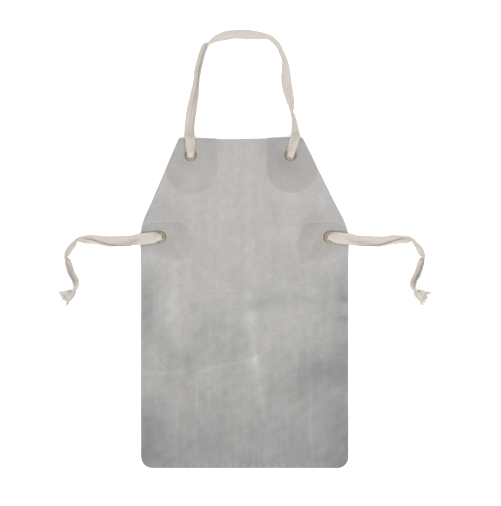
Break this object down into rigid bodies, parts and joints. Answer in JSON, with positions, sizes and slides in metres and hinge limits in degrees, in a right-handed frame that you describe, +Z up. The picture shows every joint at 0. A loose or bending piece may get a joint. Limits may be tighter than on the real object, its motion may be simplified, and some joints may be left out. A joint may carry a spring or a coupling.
{
  "type": "leather work apron",
  "caption": "Grey suede leather bib apron laid flat, with a cotton tape neck loop and waist ties passed through brass eyelets set in leather patches.",
  "frame": {"origin": "on the surface that the leather lies on, at the middle of the leather's width and length", "axes": "+X to the right as one faces the apron's front, +Y towards the neck, +Z up out of the front"},
  "size_m": [1.0364, 1.2057, 0.0324],
  "materials": {
    "suede": "matte suede",
    "smooth_leather": "matte",
    "brass": "dull antique",
    "cotton_tape": "matte woven",
    "cotton_thread": "matte thread"
  },
  "bodies": {
    "apron": {"leather_panel": "suede", "patch_neck_left": "smooth_leather", "patch_neck_right": "smooth_leather", "patch_waist_left": "smooth_leather", "patch_waist_right": "smooth_leather", "eyelet_neck_left": "brass", "eyelet_neck_right": "brass", "eyelet_waist_left": "brass", "eyelet_waist_right": "brass", "washer_neck_left": "brass", "washer_neck_right": "brass", "washer_waist_left": "brass", "washer_waist_right": "brass", "knot_neck_left": "cotton_tape", "knot_neck_right": "cotton_tape"},
    "neck_strap": {"neck_strap": "cotton_tape"},
    "tie_left_knot": {"knot_waist_left": "cotton_tape"},
    "tie_left": {"tie_left": "cotton_tape", "fray_left": "cotton_thread"},
    "tie_right_knot": {"knot_waist_right": "cotton_tape"},
    "tie_right": {"tie_right": "cotton_tape", "fray_right": "cotton_thread"}
  },
  "joints": [
    {"name": "neck_strap_fold", "type": "hinge", "parent": "apron", "child": "neck_strap", "pos_m": [-0.0114, 0.4055, 0.02205], "axis": [1, 0, 0], "range_deg": [0, 170]},
    {"name": "tie_left_swing", "type": "hinge", "parent": "apron", "child": "tie_left_knot", "pos_m": [-0.233, 0.18, 0.02205], "axis": [0, 0, 1], "range_deg": [-75, 35]},
    {"name": "tie_left_fold", "type": "hinge", "parent": "tie_left_knot", "child": "tie_left", "pos_m": [-0.233, 0.18, 0.02205], "axis": [0, 1, 0], "range_deg": [0, 120]},
    {"name": "tie_right_swing", "type": "hinge", "parent": "apron", "child": "tie_right_knot", "pos_m": [0.233, 0.18, 0.02205], "axis": [0, 0, 1], "range_deg": [-35, 75]},
    {"name": "tie_right_fold", "type": "hinge", "parent": "tie_right_knot", "child": "tie_right", "pos_m": [0.233, 0.18, 0.02205], "axis": [0, -1, 0], "range_deg": [0, 120]}
  ]
}
